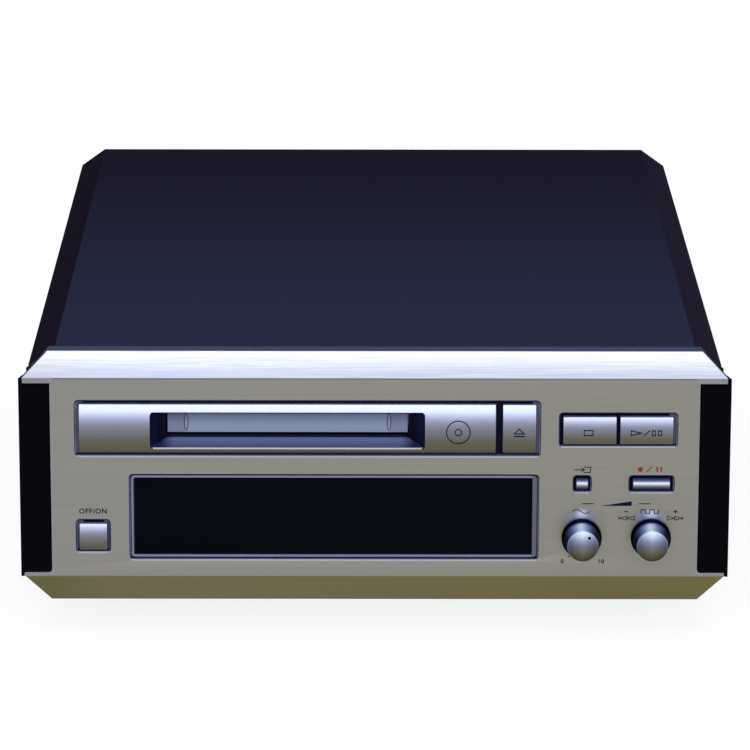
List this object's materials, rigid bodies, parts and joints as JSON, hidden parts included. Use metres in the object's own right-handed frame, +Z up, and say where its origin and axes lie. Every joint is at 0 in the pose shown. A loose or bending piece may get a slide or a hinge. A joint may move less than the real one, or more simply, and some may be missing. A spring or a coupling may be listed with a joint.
{
  "type": "minidisc deck",
  "caption": "Narrow hi-fi minidisc deck: aluminium front with sloped edges and gloss cheeks, disc mouth with a flap, wide display, keys and level knobs, dark steel cover.",
  "frame": {"origin": "on the ground under the centre of the overall bounding box", "axes": "+Z up, -Y out of the front panel, +X to the right of someone who looks at the front"},
  "size_m": [0.2174, 0.3106, 0.0884],
  "materials": {
    "brushed_aluminium": "brushed along the width, clear anodised",
    "gloss_black": "high gloss",
    "dark_paint": "fine satin",
    "black_paint": "satin",
    "zinc_steel": "zinc plated",
    "silver_plastic": "silver satin paint",
    "knob_silver": "silver, semi-gloss",
    "black_plastic": "fine texture",
    "display_trim": "smoke grey",
    "smoked_window": "high gloss",
    "tube_glass": "clear over dark grids",
    "circuit_board": "green solder mask",
    "plated_steel": "bright",
    "motor_steel": "drawn can",
    "black_steel": "black zinc",
    "rubber_foot": "matt",
    "nylon": "natural",
    "transformer_iron": "varnished laminations",
    "capacitor_sleeve": "shrunk sleeve",
    "sink_aluminium": "extruded"
  },
  "bodies": {
    "deck": {"front_panel": "brushed_aluminium", "left_cheek": "gloss_black", "right_cheek": "gloss_black", "top_cover": "dark_paint", "rear_panel": "black_paint", "chassis": "zinc_steel", "mech_bracket": "zinc_steel", "mech_frame": "zinc_steel", "loader_bezel": "silver_plastic", "front_subpanel": "black_plastic", "rca_jacks": "black_plastic", "optical_jacks": "black_plastic", "ac_inlet": "black_plastic", "display_frame": "display_trim", "display_window": "smoked_window", "display_tube": "tube_glass", "front_board": "circuit_board", "main_board": "circuit_board", "power_board": "circuit_board", "analog_pot": "plated_steel", "digital_encoder": "plated_steel", "guide_rod_left": "plated_steel", "guide_rod_right": "plated_steel", "spindle_motor": "motor_steel", "sled_motor": "motor_steel", "loading_motor": "motor_steel", "cover_screw_left_front": "black_steel", "cover_screw_left_rear": "black_steel", "cover_screw_right_front": "black_steel", "cover_screw_right_rear": "black_steel", "rear_screw_left": "black_steel", "rear_screw_right": "black_steel", "foot_front_left": "rubber_foot", "foot_front_right": "rubber_foot", "foot_rear_left": "rubber_foot", "foot_rear_right": "rubber_foot", "power_transformer": "transformer_iron", "smoothing_capacitor_left": "capacitor_sleeve", "smoothing_capacitor_right": "capacitor_sleeve", "heat_sink": "sink_aluminium"},
    "door": {"disc_door": "silver_plastic"},
    "eject_key": {"eject_button": "silver_plastic"},
    "stop_key": {"stop_button": "silver_plastic"},
    "play_key": {"play_button": "silver_plastic"},
    "power_key": {"power_button": "silver_plastic"},
    "input_key": {"input_button": "silver_plastic"},
    "record_key": {"record_button": "silver_plastic"},
    "analog_control": {"analog_knob": "knob_silver", "analog_shaft": "plated_steel"},
    "digital_control": {"digital_knob": "knob_silver", "encoder_shaft": "plated_steel"},
    "holder": {"cartridge_holder": "zinc_steel"},
    "cam": {"cam_slide": "nylon"},
    "loader_wheel": {"loading_gear": "nylon"},
    "platter": {"turntable": "black_plastic"},
    "sled": {"pickup_sled": "black_plastic"},
    "pinion": {"sled_pinion": "nylon"},
    "arm": {"head_arm": "zinc_steel"}
  },
  "joints": [
    {"name": "door_hinge", "type": "hinge", "parent": "deck", "child": "door", "pos_m": [-0.02672, -0.13885, 0.0692], "axis": [1, 0, 0], "range_deg": [0, 80], "stiffness_Nm_per_rad": 0.0003, "springref_deg": -28.65},
    {"name": "eject_press", "type": "slide", "parent": "deck", "child": "eject_key", "axis": [0, 1, 0], "range_m": [0, 0.0008], "stiffness_N_per_m": 300, "springref_m": -0.001},
    {"name": "stop_press", "type": "slide", "parent": "deck", "child": "stop_key", "axis": [0, 1, 0], "range_m": [0, 0.0008], "stiffness_N_per_m": 300, "springref_m": -0.001},
    {"name": "play_press", "type": "slide", "parent": "deck", "child": "play_key", "axis": [0, 1, 0], "range_m": [0, 0.0008], "stiffness_N_per_m": 300, "springref_m": -0.001},
    {"name": "power_press", "type": "slide", "parent": "deck", "child": "power_key", "axis": [0, 1, 0], "range_m": [0, 0.0008], "stiffness_N_per_m": 300, "springref_m": -0.001},
    {"name": "input_press", "type": "slide", "parent": "deck", "child": "input_key", "axis": [0, 1, 0], "range_m": [0, 0.0008], "stiffness_N_per_m": 300, "springref_m": -0.001},
    {"name": "record_press", "type": "slide", "parent": "deck", "child": "record_key", "axis": [0, 1, 0], "range_m": [0, 0.0008], "stiffness_N_per_m": 300, "springref_m": -0.001},
    {"name": "analog_level_turn", "type": "hinge", "parent": "deck", "child": "analog_control", "pos_m": [0.06355, -0.14535, 0.0297], "axis": [0, 1, 0], "range_deg": [-187, 113]},
    {"name": "digital_level_turn", "type": "hinge", "parent": "deck", "child": "digital_control", "pos_m": [0.0848, -0.14535, 0.0297], "axis": [0, 1, 0], "continuous": true},
    {"name": "holder_lift", "type": "slide", "parent": "deck", "child": "holder", "axis": [0, 0, -1], "range_m": [0, 0.004]},
    {"name": "cam_travel", "type": "slide", "parent": "deck", "child": "cam", "axis": [0, 1, 0], "range_m": [0, 0.012]},
    {"name": "loader_spin", "type": "hinge", "parent": "deck", "child": "loader_wheel", "pos_m": [0.01087, -0.05735, 0.0527], "axis": [1, 0, 0], "range_deg": [-215, 0]},
    {"name": "platter_spin", "type": "hinge", "parent": "deck", "child": "platter", "pos_m": [-0.02672, -0.09235, 0.057], "axis": [0, 0, 1], "continuous": true},
    {"name": "sled_travel", "type": "slide", "parent": "deck", "child": "sled", "axis": [0, 1, 0], "range_m": [0, 0.015]},
    {"name": "pinion_spin", "type": "hinge", "parent": "deck", "child": "pinion", "pos_m": [-0.04303, -0.05935, 0.0523], "axis": [0, 0, 1], "range_deg": [0, 269]},
    {"name": "head_lift", "type": "hinge", "parent": "sled", "child": "arm", "pos_m": [-0.02672, -0.05505, 0.0666], "axis": [1, 0, 0], "range_deg": [0, 8], "stiffness_Nm_per_rad": 0.004, "springref_deg": -8.59}
  ],
  "couplings": [
    {"joint": "holder_lift", "follows": "cam_travel", "ratio": 0.33333},
    {"joint": "loader_spin", "follows": "cam_travel", "rad_per_m": -312.5},
    {"joint": "pinion_spin", "follows": "sled_travel", "rad_per_m": 312.5}
  ]
}
